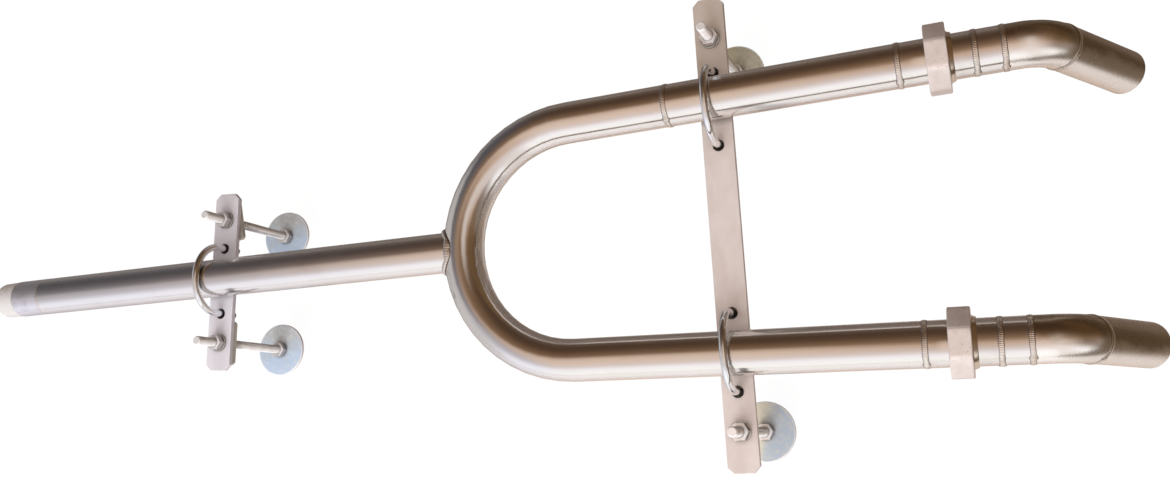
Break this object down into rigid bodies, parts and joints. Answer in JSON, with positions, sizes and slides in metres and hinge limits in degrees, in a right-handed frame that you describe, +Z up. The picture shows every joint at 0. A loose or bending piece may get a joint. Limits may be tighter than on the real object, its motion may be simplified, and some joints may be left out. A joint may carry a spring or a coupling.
{
  "type": "ladder stabilizer",
  "caption": "Forked stainless tube frame with a threaded stem and two down-turned tips on union couplings, carried by clamp-on flat bars with U-bolts and adjustable washer feet.",
  "frame": {"origin": "middle of the footprint, level with the lower ends of the studs", "axes": "+X along the stem towards the down-turned tips, +Y across towards the arm with the splice weld, +Z up from the feet to the tubes"},
  "size_m": [1.0208, 0.3772, 0.1487],
  "materials": {
    "tube": "satin stainless tube",
    "weld": "heat-tinted weld bead",
    "fitting": "turned stainless",
    "cast_nut": "matte cast and machined steel",
    "gasket": "white fluoropolymer",
    "bar": "matte rolled flat bar",
    "backing_plate": "matte rolled plate",
    "foot_washer": "zinc plated and passivated",
    "fastener": "bright zinc plated"
  },
  "bodies": {
    "fork": {"inlet_nipple": "fitting", "nipple_weld": "weld", "stem_tube": "tube", "saddle_weld": "weld", "u_bend_tube": "tube", "arm_splice_weld": "weld", "left_arm_tube": "tube", "left_union_weld": "weld", "right_union_weld": "weld", "left_union_end": "fitting", "right_union_end": "fitting", "left_gasket": "gasket", "right_gasket": "gasket"},
    "left_nut": {"left_union_nut": "cast_nut"},
    "right_nut": {"right_union_nut": "cast_nut"},
    "left_tip": {"left_tailpiece": "fitting", "left_tailpiece_weld": "weld", "left_tip_sleeve": "tube", "left_elbow_inlet_weld": "weld", "left_elbow": "tube", "left_elbow_outlet_weld": "weld", "left_end_stub": "tube"},
    "right_tip": {"right_tailpiece": "fitting", "right_tailpiece_weld": "weld", "right_tip_sleeve": "tube", "right_elbow_inlet_weld": "weld", "right_elbow": "tube", "right_elbow_outlet_weld": "weld", "right_end_stub": "tube"},
    "stem_bracket": {"stem_bar": "bar", "stem_u_bolt": "fastener", "stem_u_bolt_washers": "fastener", "stem_u_bolt_nuts": "fastener", "stem_backing_plates": "backing_plate", "stem_bar_washers": "fastener", "stem_bar_nuts": "fastener"},
    "cross_bracket": {"cross_bar": "bar", "left_u_bolt": "fastener", "right_u_bolt": "fastener", "cross_u_bolt_washers": "fastener", "cross_u_bolt_nuts": "fastener", "cross_bar_washers": "fastener", "cross_bar_nuts": "fastener"},
    "stem_left_foot": {"stem_left_stud": "fastener", "stem_left_foot_washer": "foot_washer", "stem_left_foot_nuts": "fastener"},
    "stem_right_foot": {"stem_right_stud": "fastener", "stem_right_foot_washer": "foot_washer", "stem_right_foot_nuts": "fastener"},
    "cross_left_foot": {"cross_left_stud": "fastener", "cross_left_foot_washer": "foot_washer", "cross_left_foot_nuts": "fastener"},
    "cross_right_foot": {"cross_right_stud": "fastener", "cross_right_foot_washer": "foot_washer", "cross_right_foot_nuts": "fastener"}
  },
  "joints": [
    {"name": "left_nut_turn", "type": "hinge", "parent": "fork", "child": "left_nut", "pos_m": [0.36567, 0.10363, 0.12265], "axis": [0.9997, 0.0244, 0], "continuous": true},
    {"name": "right_nut_turn", "type": "hinge", "parent": "fork", "child": "right_nut", "pos_m": [0.36167, -0.10353, 0.12265], "axis": [0.9997, -0.0244, 0], "continuous": true},
    {"name": "left_tip_swivel", "type": "hinge", "parent": "fork", "child": "left_tip", "pos_m": [0.36512, 0.10362, 0.12265], "axis": [0.9997, 0.0244, 0], "continuous": true},
    {"name": "right_tip_swivel", "type": "hinge", "parent": "fork", "child": "right_tip", "pos_m": [0.36112, -0.10352, 0.12265], "axis": [0.9997, -0.0244, 0], "continuous": true},
    {"name": "stem_bracket_slide", "type": "slide", "parent": "fork", "child": "stem_bracket", "axis": [1, 0, 0], "range_m": [-0.15, 0.2]},
    {"name": "cross_bracket_slide", "type": "slide", "parent": "fork", "child": "cross_bracket", "axis": [1, 0, 0], "range_m": [-0.015, 0.07]},
    {"name": "stem_left_foot_height", "type": "slide", "parent": "stem_bracket", "child": "stem_left_foot", "axis": [0, 0, -1], "range_m": [-0.06, 0.02]},
    {"name": "stem_right_foot_height", "type": "slide", "parent": "stem_bracket", "child": "stem_right_foot", "axis": [0, 0, -1], "range_m": [-0.06, 0.02]},
    {"name": "cross_left_foot_height", "type": "slide", "parent": "cross_bracket", "child": "cross_left_foot", "axis": [0, 0, -1], "range_m": [-0.06, 0.02]},
    {"name": "cross_right_foot_height", "type": "slide", "parent": "cross_bracket", "child": "cross_right_foot", "axis": [0, 0, -1], "range_m": [-0.06, 0.02]}
  ]
}
